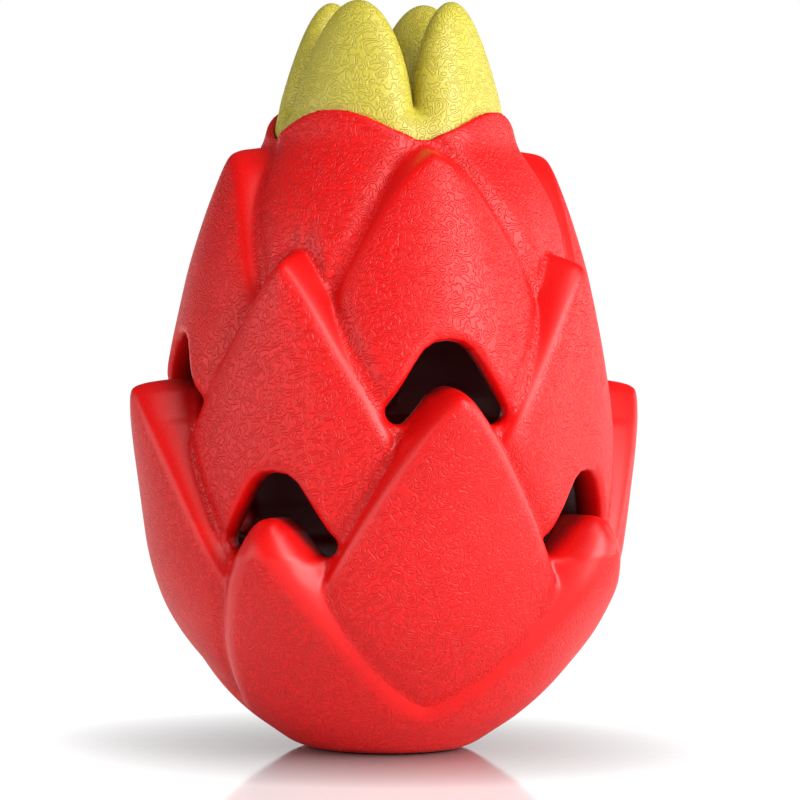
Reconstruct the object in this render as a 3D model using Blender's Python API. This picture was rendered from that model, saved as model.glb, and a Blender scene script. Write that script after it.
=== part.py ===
"""A hollow fruit-shaped chew toy: a red rubber shell of overlapping petals with a pull-out crown.

Units are metres and +Z is up. The origin is the centre of the flat base. The petals of the
middle and top rows stand on the X and Y axes. The low and upper rows and the crown's lobes
stand on the diagonals between them.
"""
import bisect
import math

import bpy
from mathutils import Vector

MM = 0.001

# Whole toy
PETALS = 4
COLUMNS = 16 * PETALS
RING_SPACING = 0.34 * MM
BASE_CORNER = 0.6 * MM
BLEND = 0.45 * MM

# Rows of petals, from the floor up. A face is a list of heights and radii in millimetres.
LOW_TIP = 36.3 * MM
LOW_FALL = 1.3 * MM
LOW_BEND = -0.0148 * MM
LOW_LEDGE = 1.25
LOW_FLANK = 0.95
LOW_EDGE = 1.0 * MM
LOW_CREASE = 0.010 * MM
LOW_FACE = ((0, 13.8), (3, 18.3), (6, 22.6), (10, 27.1), (15, 31.6), (20, 35.8), (25, 39.3),
            (29, 41.6), (34, 43.2))

MIDDLE_TIP = 60.6 * MM
MIDDLE_FALL = 1.07 * MM
MIDDLE_BEND = 0.0 * MM
MIDDLE_LEDGE = 4.6
MIDDLE_FLANK = 1.3
MIDDLE_EDGE = 0.7 * MM
MIDDLE_CREASE = 0.0045 * MM
MIDDLE_FACE = ((0, 12.7), (4.3, 19.3), (9, 25.4), (13, 29.3), (18, 33.1), (23, 36.2), (28, 38.3),
               (33, 39.7), (38, 40.6), (44, 41.6), (50, 42.7), (55, 43.6), (59.6, 44.3))

UPPER_TIP = 81.6 * MM
UPPER_FALL = 0.98 * MM
UPPER_BEND = 0.001 * MM
UPPER_LEDGE = 4.0
UPPER_FLANK = 1.3
UPPER_EDGE = 0.7 * MM
UPPER_CREASE = 0.010 * MM
UPPER_FACE = ((8, 15), (16, 25.5), (24, 33.0), (31, 36.6), (38, 37.7), (45, 38.0), (52, 38.0),
              (58, 37.9), (64, 37.7), (70, 37.4), (76, 37.1), (81.3, 36.8))

TOP_TIP = 100.3 * MM
TOP_FALL = 0.34 * MM
TOP_BEND = 0.0163 * MM
TOP_LEDGE = 9.0
TOP_FLANK = 1.4
TOP_EDGE = 0.4 * MM
TOP_CREASE = 0.003 * MM
TOP_FACE = ((30, 28), (42, 34.0), (50, 36.3), (56, 37.0), (61.4, 37.0), (66.4, 36.2), (73, 34.9),
            (80, 33.4), (88, 31.1), (94.8, 28.9), (100, 27.3))

COLLAR_CREASE = 0.0002 * MM
COLLAR_FACE = ((55, 29), (66, 32.4), (74, 32.4), (82, 31.0), (88, 29.0), (92, 27.1), (96, 24.5),
               (100, 21.7), (104, 20.4), (108, 19.0))

# Rim, mouth and neck
RIM_MIDDLE = 104.1 * MM
RIM_SCALLOP = 2.4 * MM
RIM_ROUND = 0.3 * MM
MOUTH_RADIUS = 19.2 * MM
MOUTH_DRAFT = 0.3 * MM
MOUTH_DEPTH = 3.1 * MM
NECK_RADIUS = 17.2 * MM
NECK_DRAFT = 0.6 * MM
NECK_LENGTH = 7.5 * MM

# Hollow
WALL = 5.6 * MM
FLOOR = 5.5 * MM
FLOOR_RADIUS = 7.0 * MM
SHOULDER = 6.0 * MM
HOLLOW_RINGS = 16

# Treat slots, one above every petal tip of the low and middle rows
LOW_CREST = 4.0 * MM
MIDDLE_CREST = 1.1 * MM
SLOT_OPENING = 7.2 * MM
SLOT_HALF_WIDTH = 10.0 * MM
SLOT_DROP = 6.3 * MM
SLOT_LEG = 2.2 * MM
SLOT_REACH = 9.0 * MM

# Crown
GAP = 0.35 * MM
SKIRT_RISE = 1.3 * MM
SKIRT_ROUND = 2.4 * MM
CORE_WALL = 4.2 * MM
CORE_ROUND = 1.2 * MM
LOBE_HEIGHT = 22.8 * MM
LOBE_SINK = 4.2 * MM
LOBE_HALF_WIDTH = 11.2 * MM
LOBE_HALF_DEPTH = 6.6 * MM
LOBE_FOOT_RADIUS = 13.5 * MM
LOBE_PEAK_RADIUS = 11.3 * MM
LOBE_RINGS = 9
LOBE_SEGMENTS = 18

# Worked out from the sizes above
PITCH = 360.0 / PETALS
SEAT = RIM_MIDDLE - RIM_SCALLOP - MOUTH_DEPTH
NECK_LOW = SEAT - NECK_LENGTH
SKIRT_TOP = RIM_MIDDLE + SKIRT_RISE


def curve(points):
    """A smooth curve through (height, radius) points given in millimetres."""
    zs = [p[0] * MM for p in points]
    rs = [p[1] * MM for p in points]
    slopes = []
    for i in range(len(zs)):
        a = max(i - 1, 0)
        b = min(i + 1, len(zs) - 1)
        slopes.append((rs[b] - rs[a]) / (zs[b] - zs[a]))

    def at(z):
        if z < zs[0]:
            return rs[0] - 2.0 * (zs[0] - z)
        z = min(z, zs[-1])
        i = min(max(bisect.bisect_right(zs, z) - 1, 0), len(zs) - 2)
        h = zs[i + 1] - zs[i]
        t = (z - zs[i]) / h
        value = (1 + 2 * t) * (1 - t) ** 2 * rs[i] + t * t * (3 - 2 * t) * rs[i + 1]
        return value + t * (1 - t) ** 2 * h * slopes[i] - t * t * (1 - t) * h * slopes[i + 1]
    return at


class Row:
    """One ring of four petals."""

    def __init__(self, offset, tip, fall, bend, ledge, flank, edge, crease, face, keel, power):
        self.offset = offset
        self.tip = tip
        self.fall = fall
        self.bend = bend
        self.ledge = ledge
        self.flank = flank
        self.edge = edge
        self.crease = crease
        self.face = curve(face)
        self.keel = keel
        self.power = power

    def fold(self, angle):
        """Degrees from the centre line of the nearest petal."""
        return (angle - self.offset + PITCH / 2) % PITCH - PITCH / 2

    def edge_height(self, phi):
        """Height of the petal's edge: a rounded point falling away to both sides."""
        away = math.sqrt(phi * phi + 9.0) - 3.0
        return self.tip - self.fall * away - self.bend * away * away

    def lean(self, phi, z):
        """Steepness of the edge, as height per distance across the petal."""
        step = 0.25
        rise = self.edge_height(phi + step) - self.edge_height(phi - step)
        return rise / (2 * math.radians(step) * max(self.face(z), 5 * MM))

    def radius(self, angle, z):
        phi = self.fold(angle)
        top = self.tip or 108 * MM
        rise = min(max((z - self.keel) / (top - self.keel), 0.0), 1.2) ** self.power
        face = self.face(z) - self.crease * rise * phi * phi
        if self.tip is None:
            return face
        slope = self.face(z + 0.5 * MM) - self.face(z - 0.5 * MM)
        slope /= MM
        scale = math.sqrt(self.lean(phi, z) ** 2 + 1 / (1 + slope * slope))
        inside = (self.edge_height(phi) - z) / scale
        steep = self.flank + (self.ledge - self.flank) * math.exp(-(phi / 7.0) ** 2)
        k = self.edge
        return face - steep * k * softplus(-inside / k)


def softplus(x):
    """A ramp with a rounded corner."""
    return x if x > 30 else math.log1p(math.exp(x))


ROWS = (
    Row(PITCH / 2, LOW_TIP, LOW_FALL, LOW_BEND, LOW_LEDGE, LOW_FLANK, LOW_EDGE, LOW_CREASE, LOW_FACE,
        0.0, 4),
    Row(0.0, MIDDLE_TIP, MIDDLE_FALL, MIDDLE_BEND, MIDDLE_LEDGE, MIDDLE_FLANK, MIDDLE_EDGE,
        MIDDLE_CREASE, MIDDLE_FACE, 20 * MM, 2),
    Row(PITCH / 2, UPPER_TIP, UPPER_FALL, UPPER_BEND, UPPER_LEDGE, UPPER_FLANK, UPPER_EDGE,
        UPPER_CREASE, UPPER_FACE, 50 * MM, 2),
    Row(0.0, TOP_TIP, TOP_FALL, TOP_BEND, TOP_LEDGE, TOP_FLANK, TOP_EDGE, TOP_CREASE, TOP_FACE,
        56 * MM, 1),
    Row(PITCH / 2, None, 0, 0, 0, 0, 0, COLLAR_CREASE, COLLAR_FACE, 60 * MM, 1),
)


def outside(angle, z):
    """Outer radius at an angle in degrees and a height: the rows laid over each other."""
    radii = [row.radius(angle, z) for row in ROWS]
    most = max(radii)
    return most + BLEND * math.log(sum(math.exp((r - most) / BLEND) for r in radii))


def rim_height(angle):
    """The scalloped rim stands high on the diagonals and low on the axes."""
    return RIM_MIDDLE - RIM_SCALLOP * math.cos(math.radians(PETALS * angle))


def foot(row, angle):
    """Height where a petal's edge meets the petals behind it."""
    low = row.edge_height(row.fold(angle))
    high = low + 9 * MM
    others = [r for r in ROWS if r is not row]
    for _ in range(30):
        z = (low + high) / 2
        if row.radius(angle, z) > max(r.radius(angle, z) for r in others):
            low = z
        else:
            high = z
    return (low + high) / 2


def ring_heights(angle):
    """Heights of the rings on one column, gathered round every petal edge that it crosses."""
    top = rim_height(angle)
    heights = []
    for row in ROWS:
        if row.tip is None:
            continue
        phi = row.fold(angle)
        edge = row.edge_height(phi)
        spread = math.sqrt(1 + row.lean(phi, edge) ** 2)
        for offset in (-6.5, -3.0, -1.1, -0.1, 0.7):
            heights.append(edge + offset * MM * spread)
        under = foot(row, angle)
        heights.append(under - 0.5 * MM)
        heights.append(under + 0.5 * MM)
        heights.append(under + 2.2 * MM)
    for z in (0.6, 2.5, 6, 11, 17, 24):
        heights.append(z * MM)
    heights.append(top - 1.6 * MM)
    heights.append(top - 4.5 * MM)
    heights = sorted(min(max(z, BASE_CORNER), top - 0.5 * MM) for z in heights)
    count = len(heights)
    for i in range(1, count):
        heights[i] = max(heights[i], heights[i - 1] + RING_SPACING)
    limit = top
    for i in range(count - 1, -1, -1):
        heights[i] = min(heights[i], limit - RING_SPACING)
        limit = heights[i]
    return heights + [top]


def point(radius, angle, z):
    turn = math.radians(angle)
    return (radius * math.cos(turn), radius * math.sin(turn), z)


def loft(rings, close_low, close_high):
    """Join rings of equal length by quads and close each end on a centre point."""
    verts = [p for ring in rings for p in ring]
    size = len(rings[0])
    faces = []
    for j in range(len(rings) - 1):
        for i in range(size):
            n = (i + 1) % size
            faces.append((j * size + i, j * size + n, (j + 1) * size + n, (j + 1) * size + i))
    if close_low is not None:
        verts.append(close_low)
        for i in range(size):
            faces.append((len(verts) - 1, (i + 1) % size, i))
    if close_high is not None:
        verts.append(close_high)
        last = (len(rings) - 1) * size
        for i in range(size):
            faces.append((len(verts) - 1, last + i, last + (i + 1) % size))
    return verts, faces


def add_object(name, verts, faces):
    mesh = bpy.data.meshes.new(name)
    mesh.from_pydata(verts, [], faces)
    mesh.validate()
    mesh.update()
    obj = bpy.data.objects.new(name, mesh)
    bpy.context.scene.collection.objects.link(obj)
    return obj


def add_material(obj, name, colour, roughness):
    material = bpy.data.materials.new(name)
    material.use_nodes = True
    shader = material.node_tree.nodes["Principled BSDF"]
    shader.inputs["Base Color"].default_value = (*colour, 1)
    shader.inputs["Roughness"].default_value = roughness
    material.diffuse_color = (*colour, 1)
    obj.data.materials.append(material)


def cut(obj, cutter, operation):
    cutter.hide_render = True
    cutter.display_type = "WIRE"
    modifier = obj.modifiers.new(cutter.name, "BOOLEAN")
    modifier.operation = operation
    modifier.solver = "EXACT"
    modifier.use_self = operation == "UNION"
    modifier.object = cutter


def smooth(obj):
    for polygon in obj.data.polygons:
        polygon.use_smooth = True
    obj.data.set_sharp_from_angle(angle=math.radians(38))


def hollow_outline():
    """Heights and radii of the hollow, which keeps one wall behind the thinnest of the shell."""
    outline = [(FLOOR, FLOOR_RADIUS)]
    low = FLOOR + 0.4 * MM
    shoulder = NECK_LOW - SHOULDER
    angles = [PITCH * i / 16 for i in range(9)]

    def wall_radius(z):
        here = min(outside(a, z) for a in angles)
        above = min(outside(a, z + 6 * MM) for a in angles)
        below = min(outside(a, max(z - 6 * MM, 0)) for a in angles)
        slope = (above - below) / (12 * MM)
        return min(here, (here + above + below) / 3) - WALL * math.sqrt(1 + slope * slope)

    for i in range(HOLLOW_RINGS):
        t = i / (HOLLOW_RINGS - 1)
        z = low + (shoulder - low) * t ** 1.35
        outline.append((z, max(wall_radius(z), FLOOR_RADIUS)))
    widest = outline[-1][1]
    neck = NECK_RADIUS - NECK_DRAFT
    for t in (0.35, 0.65, 0.87, 0.98):
        outline.append((shoulder + SHOULDER * t, neck + (widest - neck) * math.sqrt(1 - t * t)))
    return outline


def build_body():
    angles = [360.0 * i / COLUMNS for i in range(COLUMNS)]
    hollow = hollow_outline()
    columns = []
    for angle in angles:
        fold = abs((angle + PITCH / 2) % PITCH - PITCH / 2)
        column = [(outside(fold, 0.0) - BASE_CORNER, 0.0)]
        for z in ring_heights(fold):
            column.append((outside(fold, z), z))
        radius, top = column[-1]
        column.append((radius - RIM_ROUND, top + RIM_ROUND * 0.7))
        column.append((MOUTH_RADIUS + RIM_ROUND, top + RIM_ROUND * 0.7))
        column.append((MOUTH_RADIUS, top))
        column.append((MOUTH_RADIUS - MOUTH_DRAFT, SEAT))
        column.append((NECK_RADIUS, SEAT))
        column.append((NECK_RADIUS - NECK_DRAFT, NECK_LOW))
        for z, radius in reversed(hollow):
            column.append((radius, z))
        columns.append(column)
    rings = []
    for j in range(len(columns[0])):
        rings.append([point(columns[i][j][0], angles[i], columns[i][j][1]) for i in range(COLUMNS)])
    verts, faces = loft(rings, (0, 0, 0), (0, 0, FLOOR))
    body = add_object("body_shell", verts, faces)
    add_material(body, "red_natural_rubber", (0.78, 0.02, 0.025), 0.42)
    return body


def slot_outline():
    """The chevron in the plane of the wall, as (across, up) from the middle of its floor."""
    leg = SLOT_HALF_WIDTH - SLOT_LEG
    right = [(0.0, 0.0), (0.18 * leg, -0.05 * SLOT_DROP), (0.42 * leg, -0.28 * SLOT_DROP),
             (0.64 * leg, -0.63 * SLOT_DROP)]
    for degrees in (-120, -75, -30, 15):
        turn = math.radians(degrees)
        right.append((leg + SLOT_LEG * math.cos(turn), SLOT_LEG * (1 + math.sin(turn)) - SLOT_DROP))
    right += [(0.7 * leg, 0.5 * SLOT_OPENING), (0.51 * leg, 0.79 * SLOT_OPENING),
              (0.28 * leg, 0.96 * SLOT_OPENING), (0.0, SLOT_OPENING)]
    left = [(-x, z) for x, z in reversed(right[1:-1])]
    return right + left


def build_slots(name, first, floor):
    """Straight chevron cutters round the shell, through its wall and clear on both sides."""
    verts = []
    faces = []
    outline = slot_outline()
    size = len(outline)
    wall = outside(first, floor + SLOT_OPENING)
    for k in range(PETALS):
        turn = math.radians(first + PITCH * k)
        out = Vector((math.cos(turn), math.sin(turn), 0))
        across = Vector((-math.sin(turn), math.cos(turn), 0))
        base = len(verts)
        for reach in (wall - WALL - SLOT_REACH, wall + SLOT_REACH):
            for x, z in outline:
                verts.append(out * reach + across * x + Vector((0, 0, floor + z)))
        faces.append([base + i for i in reversed(range(size))])
        faces.append([base + size + i for i in range(size)])
        for i in range(size):
            n = (i + 1) % size
            faces.append((base + i, base + n, base + size + n, base + size + i))
    return add_object(name, verts, faces)


def build_lobe(turn):
    """One blunt lobe of the crown, flattened outwards and leaning in towards its peak."""
    out = Vector((math.cos(turn), math.sin(turn), 0))
    across = Vector((-math.sin(turn), math.cos(turn), 0))
    foot = SKIRT_TOP - LOBE_SINK
    limit = MOUTH_RADIUS - GAP - 0.1 * MM
    rings = []
    for j in range(LOBE_RINGS):
        t = math.sin(math.radians(88.0 * j / (LOBE_RINGS - 1)))
        swell = math.sqrt(1 - t ** 1.5)
        centre = LOBE_PEAK_RADIUS + (LOBE_FOOT_RADIUS - LOBE_PEAK_RADIUS) * (1 - t) ** 2
        ring = []
        for i in range(LOBE_SEGMENTS):
            a = 2 * math.pi * (i + 0.25) / LOBE_SEGMENTS
            spot = out * (centre + LOBE_HALF_DEPTH * swell * math.cos(a))
            spot += across * (LOBE_HALF_WIDTH * swell * math.sin(a))
            spot *= min(1, limit / spot.length)
            ring.append(spot + Vector((0, 0, foot + LOBE_HEIGHT * t)))
        rings.append(ring)
    low = out * LOBE_FOOT_RADIUS + Vector((0, 0, foot))
    tip = out * LOBE_PEAK_RADIUS + Vector((0, 0, foot + LOBE_HEIGHT))
    return loft(rings, low, tip)


def build_crown():
    segments = COLUMNS
    neck_low = NECK_RADIUS - NECK_DRAFT - GAP
    core = neck_low - CORE_WALL
    roof = SEAT + GAP
    skirt = MOUTH_RADIUS - GAP
    outline = [(core - CORE_ROUND, roof), (core - 0.3 * CORE_ROUND, roof - 0.3 * CORE_ROUND),
               (core, roof - CORE_ROUND), (core, NECK_LOW), (neck_low, NECK_LOW),
               (NECK_RADIUS - GAP, SEAT + GAP), (skirt - MOUTH_DRAFT, SEAT + GAP)]
    for degrees in (0, 30, 60, 90):
        turn = math.radians(degrees)
        inward = SKIRT_ROUND * (1 - math.cos(turn))
        outline.append((skirt - inward, SKIRT_TOP - SKIRT_ROUND * (1 - math.sin(turn))))
    rings = []
    for radius, z in outline:
        rings.append([point(radius, 360.0 * i / segments, z) for i in range(segments)])
    verts, faces = loft(rings, (0, 0, roof), (0, 0, SKIRT_TOP))
    crown = add_object("crown_plug", verts, faces)
    verts = []
    faces = []
    for k in range(PETALS):
        lobe_verts, lobe_faces = build_lobe(math.radians(PITCH * (k + 0.5)))
        base = len(verts)
        verts += lobe_verts
        faces += [tuple(base + i for i in face) for face in lobe_faces]
    lobes = add_object("crown_lobes", verts, faces)
    cut(crown, lobes, "UNION")
    add_material(crown, "yellow_green_natural_rubber", (0.62, 0.6, 0.07), 0.5)
    return crown


def main():
    for obj in list(bpy.data.objects):
        bpy.data.objects.remove(obj, do_unlink=True)
    body = build_body()
    low_slots = build_slots("low_slot_cutters", PITCH / 2, LOW_TIP + LOW_CREST)
    middle_slots = build_slots("middle_slot_cutters", 0.0, MIDDLE_TIP + MIDDLE_CREST)
    cut(body, low_slots, "DIFFERENCE")
    cut(body, middle_slots, "DIFFERENCE")
    crown = build_crown()
    smooth(body)
    smooth(crown)


main()
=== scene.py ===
import math

import bpy
import numpy as np
from mathutils import Matrix, Vector


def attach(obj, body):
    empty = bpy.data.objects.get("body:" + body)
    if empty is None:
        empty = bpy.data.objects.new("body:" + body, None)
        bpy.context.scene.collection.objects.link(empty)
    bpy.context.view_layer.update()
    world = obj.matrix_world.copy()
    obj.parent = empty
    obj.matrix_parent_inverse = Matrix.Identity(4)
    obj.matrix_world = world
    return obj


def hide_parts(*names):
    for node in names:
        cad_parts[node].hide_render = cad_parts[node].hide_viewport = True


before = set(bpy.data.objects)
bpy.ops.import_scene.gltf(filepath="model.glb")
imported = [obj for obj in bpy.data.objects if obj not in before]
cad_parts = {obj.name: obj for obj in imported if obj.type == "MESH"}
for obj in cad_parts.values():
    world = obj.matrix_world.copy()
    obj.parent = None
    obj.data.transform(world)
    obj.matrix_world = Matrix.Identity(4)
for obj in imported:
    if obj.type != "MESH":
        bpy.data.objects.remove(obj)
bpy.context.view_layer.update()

# The toy's own sizes, in millimetres and degrees. Two pieces are dressed: the red shell, whose
# petals overlap like scales, and the yellow-green crown that plugs its mouth.
MM = 0.001
PITCH = 90.0
BLEND = 0.6
TIP_ROUND = 3.0
DIP_REACH = 5.0
GROOVE_START = 1.5
GROOVE_REACH = 1.7
ROLL_REACH = 2.8
LEDGE_SPREAD = 7.0
COLLAR_TOP = 108.0
FOOT_SLOPE = 2.0

ROWS = {
    "low": dict(
        turn=45.0, tip=36.3, fall=1.3, bend=-0.0148, ledge=0.75, flank=0.9, edge=0.65,
        roll=0.3, crease=0.010, keel=0.0, power=4, groove=0.4, dip=0.3,
        face=((0, 13.8), (3, 18.3), (6, 22.6), (10, 27.1), (15, 31.6), (20, 35.8), (25, 39.3),
              (29, 41.6), (34, 43.2))),
    "middle": dict(
        turn=0.0, tip=60.6, fall=1.07, bend=0.0, ledge=4.6, flank=3.0, edge=0.42,
        roll=0.7, crease=0.0045, keel=20.0, power=2, groove=0.6, dip=0.4,
        face=((0, 11.7), (4.3, 18.3), (9, 24.4), (13, 28.7), (18, 33.0), (23, 36.2), (28, 38.3),
              (33, 39.7), (38, 40.6), (44, 41.6), (50, 42.7), (55, 43.6), (59.6, 44.3))),
    "upper": dict(
        turn=45.0, tip=81.4, fall=0.98, bend=0.001, ledge=4.4, flank=2.4, edge=0.5,
        roll=0.7, crease=0.010, keel=50.0, power=2, groove=0.7, dip=0.4,
        face=((8, 15), (16, 25.5), (24, 33.0), (31, 36.6), (38, 37.7), (45, 38.0), (52, 38.0),
              (58, 37.9), (64, 37.7), (70, 37.4), (76, 37.1), (81.3, 36.8))),
    "top": dict(
        turn=0.0, tip=99.6, fall=0.34, bend=0.0163, ledge=16.0, flank=2.8, edge=0.4,
        roll=0.7, crease=0.003, keel=56.0, power=1, groove=0.8, dip=0.5,
        face=((30, 28), (42, 34.0), (50, 36.3), (56, 37.0), (61.4, 37.0), (66.4, 36.2), (73, 34.9),
              (80, 33.4), (88, 31.1), (94.8, 28.9), (100, 27.3))),
    "collar": dict(
        turn=45.0, tip=None, crease=0.0002, keel=60.0, power=1,
        face=((55, 29), (66, 32.4), (74, 32.4), (82, 31.0), (88, 29.0), (92, 27.1), (96, 24.5),
              (100, 21.7), (104, 20.4), (108, 19.0))),
}
for place, row in enumerate(ROWS.values()):
    row["front"] = list(ROWS.values())[max(0, place - 2):place]

RIM_MIDDLE = 104.1
RIM_SCALLOP = 2.4
MOUTH_RADIUS = 19.2
SEAT = 98.6
NECK_RADIUS = 16.9
NECK_LOW = 91.1
FLOOR = 5.5
WALL = 5.6
SHOULDER = 6.0
BASE_ROUND = 0.9
LIP_ROUND = 0.8

LOW_SLOT_FLOOR = 40.3
MIDDLE_SLOT_FLOOR = 61.7
SLOT_OPENING = 7.2
SLOT_HALF_WIDTH = 10.0
SLOT_DROP = 6.3
SLOT_LEG = 2.2
SLOT_ROUND = 0.9
SLOT_INNER_RADIUS = 22.0
SLOT_BAND = (26, 74)

SKIRT_RADIUS = 18.85
SKIRT_TOP = 105.4
SKIRT_ROUND = 2.4
PLUG_LOW = 91.1
CORE_RADIUS = 12.0
LOBE_FOOT = 101.2
LOBE_HEIGHT = 22.8
LOBE_HALF_WIDTH = 11.2
LOBE_HALF_DEPTH = 6.6
LOBE_FOOT_RADIUS = 13.5
LOBE_PEAK_RADIUS = 11.3
LOBE_BLEND = 0.7
SEAT_GAP = 0.35
PLUG_GAP = 0.4

# The stage, in metres. The wall's radius is a share of the floor's, so that it stands behind it
STAGE_RADIUS = 2.0
WALL_SPREAD = 1.1
WALL_FOOT = -0.1
WALL_HEIGHT = 0.35
LIGHT_DISTANCE = 0.95
ROOM_LEVEL = 0.12

# The materials: the grain's fineness, the painted crease shade, and the painted shadow where the
# floor's glow fades under the toy
GRAIN_SCALE = 520.0
GRAIN_BANDS = 9.0
FINE_SCALE = 2400.0
FINE_SHARE = 0.25
SMOOTHER = 0.07
# Painted shade: the share of darkening that the creases under the petal edges get in the colour
CREASE_SHADE_SHARE = 0.2
RUBBER_IOR = 1.52
ACRYLIC_IOR = 1.49
SHADE_REACH = 0.03
SHADE_POWER = 2.0
MIRROR_SHARE = 0.85
WHITE = (1, 1, 1, 1)

# The spacing of the points that each piece is drawn from, in millimetres

SHELL_GRID = 0.42
CROWN_GRID = 0.3


def curve(points):
    """A smooth curve through (height, radius) points."""
    zs, rs = np.array(points, float).T
    slopes = np.empty_like(rs)
    slopes[1:-1] = (rs[2:] - rs[:-2]) / (zs[2:] - zs[:-2])
    slopes[0] = (rs[1] - rs[0]) / (zs[1] - zs[0])
    slopes[-1] = (rs[-1] - rs[-2]) / (zs[-1] - zs[-2])

    def at(z):
        below = np.minimum(z - zs[0], 0)
        z = np.clip(z, zs[0], zs[-1])
        i = np.clip(np.searchsorted(zs, z, "right") - 1, 0, len(zs) - 2)
        h = zs[i + 1] - zs[i]
        t = (z - zs[i]) / h
        value = (1 + 2 * t) * (1 - t) ** 2 * rs[i] + t * t * (3 - 2 * t) * rs[i + 1]
        value += t * (1 - t) ** 2 * h * slopes[i] - t * t * (1 - t) * h * slopes[i + 1]
        return value + FOOT_SLOPE * below
    return at


for row in ROWS.values():
    row["outline"] = curve(row["face"])


def fold(angle, turn):
    """Degrees from the centre line of the nearest petal."""
    return (angle - turn + PITCH / 2) % PITCH - PITCH / 2


def edge_height(row, phi):
    """Height of a petal's edge, a rounded point that falls away to both sides."""
    away = np.sqrt(phi * phi + TIP_ROUND ** 2) - TIP_ROUND
    return row["tip"] - row["fall"] * away - row["bend"] * away * away


def inside_edge(row, phi, z):
    """Distance in from a petal's edge, along its face."""
    step = 0.25
    outline = row["outline"]
    rise = edge_height(row, phi + step) - edge_height(row, phi - step)
    lean = rise / (2 * math.radians(step) * np.maximum(outline(z), 5))
    slope = outline(z + 0.5) - outline(z - 0.5)
    return (edge_height(row, phi) - z) / np.sqrt(lean * lean + 1 / (1 + slope * slope))


def groove(front, angle, z):
    """How far a petal falls back where the edge of the petal in front lies over it."""
    beyond = np.maximum(-inside_edge(front, fold(angle, front["turn"]), z), 0)
    dip = front["dip"] * np.exp(-(beyond / DIP_REACH) ** 2)
    past = np.maximum(beyond - GROOVE_START, 0)
    return dip + front["groove"] * np.exp(-(past / GROOVE_REACH) ** 2)


def row_radius(row, angle, z, grooved=True):
    """Radius of one row of petals: its bulging face, then the drop behind its edge."""
    phi = fold(angle, row["turn"])
    top = row["tip"] or COLLAR_TOP
    rise = np.clip((z - row["keel"]) / (top - row["keel"]), 0, 1.2) ** row["power"]
    face = row["outline"](z) - row["crease"] * rise * phi * phi
    if grooved and row["front"]:
        face -= np.max([groove(front, angle, z) for front in row["front"]], axis=0)
    if row["tip"] is None:
        return face
    inside = inside_edge(row, phi, z)
    face -= row["roll"] * np.exp(-np.maximum(inside, 0) / ROLL_REACH)
    steep = row["flank"] + (row["ledge"] - row["flank"]) * np.exp(-(phi / LEDGE_SPREAD) ** 2)
    k = row["edge"]
    return face - steep * k * np.logaddexp(0, -inside / k)


def shell_radius(angle, z, grooved=True):
    """Outer radius of the shell: the rows of petals laid over each other."""
    radii = np.stack([row_radius(row, angle, z, grooved) for row in ROWS.values()])
    return BLEND * np.logaddexp.reduce(radii / BLEND, axis=0)


def rim_height(angle):
    """Height of the scalloped rim round the mouth."""
    return RIM_MIDDLE - RIM_SCALLOP * np.cos(np.radians(4 * angle))


def smooth_max(a, b, radius):
    """The larger of two distances, with the corner between them rounded."""
    h = np.maximum(radius - np.abs(a - b), 0) / radius
    return np.maximum(a, b) + h * h * radius / 4


def slot_outline():
    """The chevron of a treat slot, as across and up from the middle of its floor."""
    leg = SLOT_HALF_WIDTH - SLOT_LEG
    turns = np.radians(np.linspace(-120, 15, 7))
    right = [(0, 0), (0.18 * leg, -0.05 * SLOT_DROP), (0.42 * leg, -0.28 * SLOT_DROP),
             (0.64 * leg, -0.63 * SLOT_DROP)]
    right += [(leg + SLOT_LEG * math.cos(a), SLOT_LEG * (1 + math.sin(a)) - SLOT_DROP)
              for a in turns]
    right += [(0.7 * leg, 0.5 * SLOT_OPENING), (0.51 * leg, 0.79 * SLOT_OPENING),
              (0.28 * leg, 0.96 * SLOT_OPENING), (0, SLOT_OPENING)]
    return np.array(right + [(-x, z) for x, z in reversed(right[1:-1])])


def polygon_distance(points, x, z):
    """Distance from an outline, negative inside it."""
    nearest = np.full(x.shape, 1e9)
    crossings = np.zeros(x.shape, int)
    for (ax, az), (bx, bz) in zip(points, np.roll(points, -1, axis=0)):
        ex, ez = bx - ax, bz - az
        t = np.clip(((x - ax) * ex + (z - az) * ez) / (ex * ex + ez * ez), 0, 1)
        nearest = np.minimum(nearest, (x - ax - ex * t) ** 2 + (z - az - ez * t) ** 2)
        spans = (az > z) != (bz > z)
        with np.errstate(divide="ignore", invalid="ignore"):
            meets = ax + (z - az) * ex / ez
        crossings += spans & (x < meets)
    return np.sqrt(nearest) * np.where(crossings % 2, -1, 1)


def slot_distance(points, angle, radius, z):
    """Distance from the nearest treat slot's sides, negative inside a slot."""
    best = np.full(np.broadcast(angle, radius, z).shape, 1e3)
    for turn, floor in ((45.0, LOW_SLOT_FLOOR), (0.0, MIDDLE_SLOT_FLOOR)):
        phi = np.radians(fold(angle, turn))
        across = radius * np.sin(phi)
        out = radius * np.cos(phi)
        shape = np.maximum(polygon_distance(points, across, z - floor), SLOT_INNER_RADIUS - out)
        best = np.minimum(best, shape)
    return best


def hollow_radius(z):
    """Radius of the treat hollow, which keeps one wall behind the thinnest of the shell."""
    angles = np.linspace(0, 45, 16)[:, None]
    here, above, below = (shell_radius(angles, np.maximum(z + d, 0)[None], False).min(0)
                          for d in (0, 6, -6))
    slope = (above - below) / 12
    radius = np.minimum(here, (here + above + below) / 3) - WALL * np.sqrt(1 + slope * slope)
    start = NECK_LOW - SHOULDER
    widest = np.interp(start, z, radius)
    t = np.clip((z - start) / (NECK_LOW - start), 0, 1)
    shoulder = NECK_RADIUS + (widest - NECK_RADIUS) * np.sqrt(1 - t * t)
    radius = np.where(z > start, shoulder, radius)
    return np.maximum(radius, NECK_RADIUS * (z > start))


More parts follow.
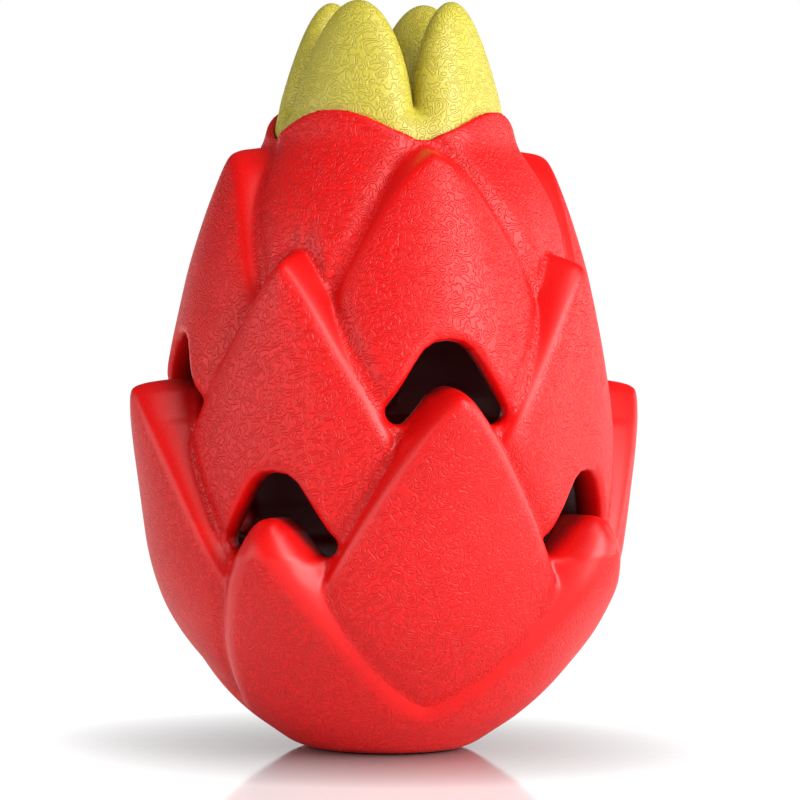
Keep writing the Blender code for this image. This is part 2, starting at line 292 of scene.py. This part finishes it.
def shell_field():
    """Distances from the shell's surface on a lattice, in slices from the floor up."""
    half = 45.6
    xs = np.arange(-half, half + SHELL_GRID, SHELL_GRID)
    zs = np.arange(-1.5, 109.0, SHELL_GRID)
    x, y = np.meshgrid(xs, xs, indexing="ij")
    radius = np.hypot(x, y)
    angle = np.abs(fold(np.degrees(np.arctan2(y, x)), 0.0))
    table_angles = np.linspace(0, 45, 451)
    table = shell_radius(table_angles[:, None], zs[None])
    by_height = np.gradient(table, zs, axis=1)
    by_angle = np.gradient(table, np.radians(table_angles), axis=0) / np.maximum(table, 5)
    scale = np.sqrt(1 + by_height ** 2 + by_angle ** 2)
    hollow = hollow_radius(zs)
    hollow_scale = np.sqrt(1 + np.gradient(hollow, zs) ** 2)
    points = slot_outline()
    field = np.empty((len(xs), len(xs), len(zs)), np.float32)
    for k, z in enumerate(zs):
        outer = radius - np.interp(angle, table_angles, table[:, k])
        outer /= np.interp(angle, table_angles, scale[:, k])
        body = smooth_max(outer, -z, BASE_ROUND * 2)
        body = smooth_max(body, z - rim_height(angle), LIP_ROUND)
        pocket = np.maximum((radius - hollow[k]) / hollow_scale[k], max(FLOOR - z, z - NECK_LOW))
        neck = np.maximum(radius - NECK_RADIUS, max(NECK_LOW - 1 - z, z - SEAT - 1))
        mouth = np.maximum(radius - MOUTH_RADIUS, SEAT - z)
        bore = np.minimum(np.minimum(pocket, neck), mouth)
        body = smooth_max(body, -bore, LIP_ROUND)
        if SLOT_BAND[0] < z < SLOT_BAND[1]:
            body = smooth_max(body, -slot_distance(points, angle, radius, z), SLOT_ROUND * 2)
        field[:, :, k] = body
    return field, np.array([-half, -half, zs[0]]), SHELL_GRID


def crown_field():
    """Distances from the crown's surface: four lobes on a round skirt, with a cored plug below."""
    half = 20.4
    xs = np.arange(-half, half + CROWN_GRID, CROWN_GRID)
    zs = np.arange(PLUG_LOW - 1.5, 126.0, CROWN_GRID)
    x, y, z = np.meshgrid(xs, xs, zs, indexing="ij")
    radius = np.hypot(x, y)
    t = np.maximum((z - LOBE_FOOT) / LOBE_HEIGHT, 0)
    centre = LOBE_PEAK_RADIUS + (LOBE_FOOT_RADIUS - LOBE_PEAK_RADIUS) * np.maximum(1 - t, 0) ** 2
    rise = 1.5 * np.sqrt(t) / LOBE_HEIGHT
    lobes = np.full(x.shape, 1e3)
    for k in range(4):
        turn = math.radians(45 + PITCH * k)
        out = (x * math.cos(turn) + y * math.sin(turn) - centre) / LOBE_HALF_DEPTH
        across = (y * math.cos(turn) - x * math.sin(turn)) / LOBE_HALF_WIDTH
        value = out * out + across * across + t ** 1.5 - 1
        steep = np.sqrt((2 * out / LOBE_HALF_DEPTH) ** 2 + (2 * across / LOBE_HALF_WIDTH) ** 2
                        + rise ** 2)
        lobe = value / np.maximum(steep, 0.02)
        lobes = -smooth_max(-lobes, -lobe, LOBE_BLEND)
    lobes = np.maximum(lobes, LOBE_FOOT - z)
    skirt = smooth_max(radius - SKIRT_RADIUS, z - SKIRT_TOP, SKIRT_ROUND * 2)
    skirt = smooth_max(skirt, SEAT + SEAT_GAP - z, 0.6)
    crown = -smooth_max(-smooth_max(lobes, radius - SKIRT_RADIUS, 0.8), -skirt, 1.6)
    plug = smooth_max(radius - NECK_RADIUS + PLUG_GAP, PLUG_LOW - z, 0.8)
    plug = np.maximum(plug, z - SEAT - 2)
    core = np.maximum(radius - CORE_RADIUS, z - SEAT)
    field = smooth_max(np.minimum(crown, plug), -core, 0.8)
    return field, np.array([-half, -half, zs[0]]), CROWN_GRID


def surface_net(field, low, step):
    """The field's zero surface as points and four-sided faces, a point in each cell it crosses."""
    inside = field < 0
    count = sum(inside[i:i - 1 or None, j:j - 1 or None, k:k - 1 or None].astype(np.uint8)
                for i in (0, 1) for j in (0, 1) for k in (0, 1))
    cells = np.argwhere((count > 0) & (count < 8))
    number = np.full(count.shape, -1, np.int32)
    number[tuple(cells.T)] = np.arange(len(cells))
    total = np.zeros((len(cells), 3))
    hits = np.zeros(len(cells))
    faces = []
    for axis in range(3):
        along = np.eye(3, dtype=int)[axis]
        u = np.eye(3, dtype=int)[(axis + 1) % 3]
        v = np.eye(3, dtype=int)[(axis + 2) % 3]
        for shift in (0 * u, u, v, u + v):
            start = cells + shift
            a = field[tuple(start.T)]
            b = field[tuple((start + along).T)]
            cross = (a < 0) != (b < 0)
            spot = start[cross] + along * (a[cross] / (a[cross] - b[cross]))[:, None]
            total[cross] += spot
            hits[cross] += 1
        size = np.array(field.shape) - along
        first = inside[tuple(slice(0, n) for n in size)]
        second = inside[tuple(slice(s, s + n) for s, n in zip(along, size))]
        edges = np.argwhere(first != second)
        edges = edges[((edges - u - v) >= 0 * u).all(1) & (edges < np.array(count.shape)).all(1)]
        ring = [edges - u - v, edges - v, edges, edges - u]
        quad = np.stack([number[tuple(c.T)] for c in ring], axis=1)
        flip = ~inside[tuple(edges.T)]
        quad[flip] = quad[flip][:, ::-1]
        faces.append(quad)
    return low + step * total / hits[:, None], np.concatenate(faces)


def add_mesh(name, points, faces):
    mesh = bpy.data.meshes.new(name)
    mesh.vertices.add(len(points))
    mesh.vertices.foreach_set("co", (points * MM).astype(np.float32).ravel())
    mesh.loops.add(faces.size)
    mesh.loops.foreach_set("vertex_index", faces.astype(np.int32).ravel())
    mesh.polygons.add(len(faces))
    mesh.polygons.foreach_set("loop_start", np.arange(0, faces.size, 4, dtype=np.int32))
    mesh.update(calc_edges=True)
    mesh.validate()
    mesh.shade_smooth()
    piece = bpy.data.objects.new(name, mesh)
    bpy.context.scene.collection.objects.link(piece)
    return piece


def add_values(piece, name, values):
    """One number for each point of the mesh, which the material reads by name."""
    layer = piece.data.attributes.new(name, "FLOAT", "POINT")
    layer.data.foreach_set("value", values.astype(np.float32))


def smoothstep(low, high, value):
    t = np.clip((value - low) / (high - low), 0, 1)
    return t * t * (3 - 2 * t)


def shell_grain(points):
    """Where the moulded grain lies: on the petals' faces, and not on edges, ledges or slots."""
    x, y, z = points.T
    radius = np.hypot(x, y)
    angle = np.degrees(np.arctan2(y, x))
    radii = np.stack([row_radius(row, angle, z) for row in ROWS.values()])
    front = radii.argmax(axis=0)
    margin = np.full(len(points), 9.0)
    for i, row in enumerate(ROWS.values()):
        if row["tip"] is not None:
            inner = inside_edge(row, fold(angle, row["turn"]), z)
            margin = np.where(front == i, inner, margin)
    grain = smoothstep(0.9, 2.4, margin)
    grain *= smoothstep(1.2, 0.5, np.abs(radius - radii.max(axis=0) - 0.1))
    grain *= smoothstep(0.5, 1.5, slot_distance(slot_outline(), angle, radius, z))
    grain *= smoothstep(0.3, 1.2, rim_height(angle) - z)
    return grain


def shell_painted_shade(points):
    """Painted shade: how dark a place is coloured, in the creases under petal edges, and in the
    slots and the hollow.
    """
    x, y, z = points.T
    radius = np.hypot(x, y)
    angle = np.degrees(np.arctan2(y, x))
    painted_shade = np.zeros(len(points))
    for row in ROWS.values():
        if row["tip"] is None:
            continue
        beyond = np.maximum(-inside_edge(row, fold(angle, row["turn"]), z), 0)
        under = row["outline"](z) - radius
        near = smoothstep(0.4, 2.2, beyond) * smoothstep(6.5, 2.2, beyond)
        painted_shade = np.maximum(painted_shade, near * smoothstep(1.0, 3.6, under))
    # Painted shade inside the slots and the hollow, darker the further a place lies in from the
    # outer surface
    inner = smoothstep(1.2, 4.5, shell_radius(angle, z) - radius)
    return np.maximum(painted_shade * CREASE_SHADE_SHARE, inner)


def linear(code):
    """An sRGB hex colour as the linear values that a shader takes."""
    parts = [int(code[i:i + 2], 16) / 255 for i in (1, 3, 5)]
    return [c / 12.92 if c <= 0.04045 else ((c + 0.055) / 1.055) ** 2.4 for c in parts] + [1.0]


def add_node(tree, kind, settings=None, links=None):
    """Add a node, set its fields or sockets and link its inputs."""
    node = tree.nodes.new(kind)
    for key, value in (settings or {}).items():
        if isinstance(key, str) and hasattr(node, key):
            setattr(node, key, value)
        else:
            node.inputs[key].default_value = value
    for key, source in (links or {}).items():
        tree.links.new(source, node.inputs[key])
    return node


def new_material(name):
    material = bpy.data.materials.new(name)
    material.use_nodes = True
    material.node_tree.nodes.clear()
    return material, material.node_tree


def rubber(name, colour, groove_shade_colour, roughness, sheen, grain_height, masked):
    """Natural rubber, compression moulded in a grained tool: satin, with fine worm-like grooves
    whose bottoms are coloured darker as painted shade.
    """
    material, tree = new_material(name)
    place = add_node(tree, "ShaderNodeTexCoord").outputs["Object"]
    worms = add_node(tree, "ShaderNodeTexNoise",
                     {"Scale": GRAIN_SCALE, "Detail": 1.0, "Roughness": 0.4},
                     {"Vector": place}).outputs["Fac"]
    bands = add_node(tree, "ShaderNodeMath", {"operation": "MULTIPLY", 1: GRAIN_BANDS},
                     {0: worms}).outputs[0]
    fold_back = add_node(tree, "ShaderNodeMath", {"operation": "PINGPONG", 1: 0.5},
                         {0: bands}).outputs[0]
    grooves = add_node(tree, "ShaderNodeMapRange",
                       {"interpolation_type": "SMOOTHSTEP", "From Min": 0.02, "From Max": 0.26},
                       {"Value": fold_back}).outputs["Result"]
    fine = add_node(tree, "ShaderNodeTexNoise", {"Scale": FINE_SCALE, "Detail": 2.0},
                    {"Vector": place}).outputs["Fac"]
    height = add_node(tree, "ShaderNodeMath", {"operation": "MULTIPLY_ADD", 1: FINE_SHARE},
                      {0: fine, 2: grooves}).outputs[0]
    if masked:
        mask = add_node(tree, "ShaderNodeAttribute", {"attribute_name": "grain"}).outputs["Fac"]
        height = add_node(tree, "ShaderNodeMath", {"operation": "MULTIPLY"},
                          {0: height, 1: mask}).outputs[0]
    bump = add_node(tree, "ShaderNodeBump", {"Strength": 1.0, "Distance": grain_height * MM},
                    {"Height": height}).outputs["Normal"]
    # Painted shade: the bottoms of the grain's grooves take the darker colour
    tone = add_node(tree, "ShaderNodeMix",
                    {"data_type": "RGBA", 6: linear(groove_shade_colour), 7: linear(colour)},
                    {0: grooves}).outputs[2]
    # Painted shade: the colour darkens towards a dark red in the creases, the slots and the hollow
    if masked:
        deep = add_node(tree, "ShaderNodeAttribute", {"attribute_name": "painted_shade"}).outputs["Fac"]
        tone = add_node(tree, "ShaderNodeMix", {"data_type": "RGBA", 7: linear("#740A0A")},
                        {0: deep, 6: tone}).outputs[2]
    links = {"Base Color": tone, "Normal": bump}
    if masked:
        links["Roughness"] = add_node(tree, "ShaderNodeMapRange",
                                      {"To Min": roughness - SMOOTHER, "To Max": roughness},
                                      {"Value": mask}).outputs["Result"]
    shader = add_node(tree, "ShaderNodeBsdfPrincipled",
                      {"Roughness": roughness, "IOR": RUBBER_IOR, "Specular IOR Level": sheen},
                      links).outputs[0]
    add_node(tree, "ShaderNodeOutputMaterial", links={"Surface": shader})
    return material


def seen_directly(tree):
    """1 for the rays that show the white floor and wall themselves, 0 for the light they shed."""
    path = add_node(tree, "ShaderNodeLightPath").outputs
    seen = add_node(tree, "ShaderNodeMath", {"operation": "ADD"},
                    {0: path["Is Camera Ray"], 1: path["Is Glossy Ray"]}).outputs[0]
    return add_node(tree, "ShaderNodeMath", {"operation": "ADD", "use_clamp": True},
                    {0: seen, 1: path["Is Transmission Ray"]}).outputs[0]


def white_acrylic_sheet():
    """Polished white acrylic: it mirrors the toy faintly, and its glow fades under the toy as a
    painted shadow.
    """
    material, tree = new_material("white_acrylic_sheet")
    sheet = add_node(tree, "ShaderNodeBsdfDiffuse", {"Color": linear("#E6E6E6")}).outputs[0]
    lifted = add_node(tree, "ShaderNodeBsdfDiffuse", {"Color": linear("#8C8C8C")}).outputs[0]
    # Painted shadow: the floor's glow dims where the toy stands close over it
    contact_shadow_ao = add_node(tree, "ShaderNodeAmbientOcclusion",
                        {"samples": 12, "Distance": SHADE_REACH}).outputs["AO"]
    level = add_node(tree, "ShaderNodeMath", {"operation": "POWER", 1: SHADE_POWER},
                     {0: contact_shadow_ao}).outputs[0]
    glow = add_node(tree, "ShaderNodeEmission", {"Color": WHITE}, {"Strength": level}).outputs[0]
    lifted = add_node(tree, "ShaderNodeAddShader", links={0: lifted, 1: glow}).outputs[0]
    body = add_node(tree, "ShaderNodeMixShader",
                    links={0: seen_directly(tree), 1: sheet, 2: lifted}).outputs[0]
    gloss = add_node(tree, "ShaderNodeBsdfGlossy", {"Color": WHITE, "Roughness": 0.08}).outputs[0]
    fresnel = add_node(tree, "ShaderNodeFresnel", {"IOR": ACRYLIC_IOR}).outputs[0]
    fresnel = add_node(tree, "ShaderNodeMath", {"operation": "MULTIPLY", 1: MIRROR_SHARE},
                       {0: fresnel}).outputs[0]
    whole = add_node(tree, "ShaderNodeMixShader", links={0: fresnel, 1: body, 2: gloss}).outputs[0]
    add_node(tree, "ShaderNodeOutputMaterial", links={"Surface": whole})
    return material


def white_backdrop_paper():
    """A far white backdrop: white where it is seen, and as bright as the room where it lights."""
    material, tree = new_material("white_backdrop_paper")
    level = add_node(tree, "ShaderNodeMath",
                     {"operation": "MULTIPLY_ADD", 1: 1 - ROOM_LEVEL, 2: ROOM_LEVEL},
                     {0: seen_directly(tree)}).outputs[0]
    paper = add_node(tree, "ShaderNodeEmission", {"Color": WHITE}, {"Strength": level}).outputs[0]
    add_node(tree, "ShaderNodeOutputMaterial", links={"Surface": paper})
    return material


# The shell
shell_points, shell_faces = surface_net(*shell_field())
shell = add_mesh("petal_shell", shell_points, shell_faces)
add_values(shell, "grain", shell_grain(shell_points))
# Painted shade for the creases, slots and hollow, which the material mixes into the colour
add_values(shell, "painted_shade", shell_painted_shade(shell_points))
# The second colour is painted shade for the bottoms of the grain's grooves
shell.data.materials.append(
    rubber("red_natural_rubber_moulded", "#EA0505", "#DC0404", 0.45, 0.4, 0.10, True))

# The crown
crown_points, crown_faces = surface_net(*crown_field())
crown = add_mesh("lobed_crown", crown_points, crown_faces)
# The second colour is painted shade for the bottoms of the grain's grooves
crown.data.materials.append(
    rubber("yellow_green_rubber_moulded", "#CCBE40", "#BEB034", 0.45, 0.65, 0.09, False))

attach(shell, "shell")
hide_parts("body_shell")
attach(crown, "crown")
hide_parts("crown_plug")

# The stage: a white floor in front of a low white wall
scene = bpy.context.scene
scene.view_settings.view_transform = "Standard"


def add_stage(name, points, faces, material):
    mesh = bpy.data.meshes.new(name)
    mesh.from_pydata(points, [], faces)
    mesh.materials.append(material)
    sheet = bpy.data.objects.new(name, mesh)
    scene.collection.objects.link(sheet)


# The floor ends 2 m away, and the wall stands all round, a little further out
turns = np.radians(range(0, 360, 5))
rim = [(STAGE_RADIUS * math.cos(a), STAGE_RADIUS * math.sin(a), 0) for a in turns]
wall = [(WALL_SPREAD * x, WALL_SPREAD * y, z)
        for z in (WALL_FOOT, WALL_HEIGHT) for x, y, floor in rim]
count = len(rim)
bands = [(i, (i + 1) % count, count + (i + 1) % count, count + i) for i in range(count)]
add_stage("studio_floor", rim, [tuple(range(count))], white_acrylic_sheet())
add_stage("studio_wall", wall, bands, white_backdrop_paper())

world = bpy.data.worlds.new("dim_studio")
world.use_nodes = True
world.node_tree.nodes["Background"].inputs["Color"].default_value = WHITE
world.node_tree.nodes["Background"].inputs["Strength"].default_value = ROOM_LEVEL
scene.world = world


def add_light(name, place, aim, width, height, watts):
    lamp = bpy.data.lights.new(name, "AREA")
    lamp.shape = "RECTANGLE"
    lamp.size = width
    lamp.size_y = height
    lamp.energy = watts
    light = bpy.data.objects.new(name, lamp)
    light.location = place
    light.rotation_euler = (Vector(aim) - Vector(place)).to_track_quat("-Z", "Y").to_euler()
    scene.collection.objects.link(light)


# The camera stands at the photograph's height and side, with its long lens
TURN = math.radians(-16.4)
TILT = math.radians(2.5)
ROLL = math.radians(0.65)
DISTANCE = 0.78
PIXELS_PER_METRE = 6000.0
IMAGE = 800.0
LOOKED_AT = Vector((0, 0, 0.062))
SEEN_AT = (387.0, 375.5)

back = Vector((math.sin(TURN) * math.cos(TILT), -math.cos(TURN) * math.cos(TILT), math.sin(TILT)))
right = Vector((math.cos(TURN), math.sin(TURN), 0))
up = back.cross(right)
shift = (right * (IMAGE / 2 - SEEN_AT[0]) / PIXELS_PER_METRE
         - up * (IMAGE / 2 - SEEN_AT[1]) / PIXELS_PER_METRE)
camera_data = bpy.data.cameras.new("camera")
camera = bpy.data.objects.new("camera", camera_data)
camera_data.sensor_width = 36.0
camera_data.lens = 36.0 * DISTANCE * PIXELS_PER_METRE / IMAGE
turned = Matrix((right, up, back)).transposed() @ Matrix.Rotation(ROLL, 3, "Z")
camera.matrix_world = Matrix.Translation(LOOKED_AT + back * DISTANCE + shift) @ turned.to_4x4()
scene.collection.objects.link(camera)
scene.camera = camera


def around(side, height):
    """A place at so many degrees to the right of the camera, and so many up."""
    side, height = math.radians(side), math.radians(height)
    toward = right.cross(Vector((0, 0, 1)))
    level = math.cos(height) * (right * math.sin(side) + toward * math.cos(side))
    return LOOKED_AT + LIGHT_DISTANCE * (level + Vector((0, 0, math.sin(height))))


# Softboxes in front, on the right and behind to the right, and one wide panel on the left
add_light("key_softbox", around(50, 24), LOOKED_AT, 0.5, 0.5, 9.2)
add_light("top_softbox", around(36, 58), LOOKED_AT, 0.4, 0.4, 2.2)
add_light("side_softbox", around(92, 6), LOOKED_AT, 0.45, 0.45, 3.0)
add_light("rim_softbox", around(122, 14), LOOKED_AT, 0.45, 0.45, 1.2)
add_light("front_softbox", around(5, 3), LOOKED_AT, 0.6, 0.3, 0.5)
add_light("left_panel", around(-66, 10), LOOKED_AT, 1.2, 0.45, 3.7)
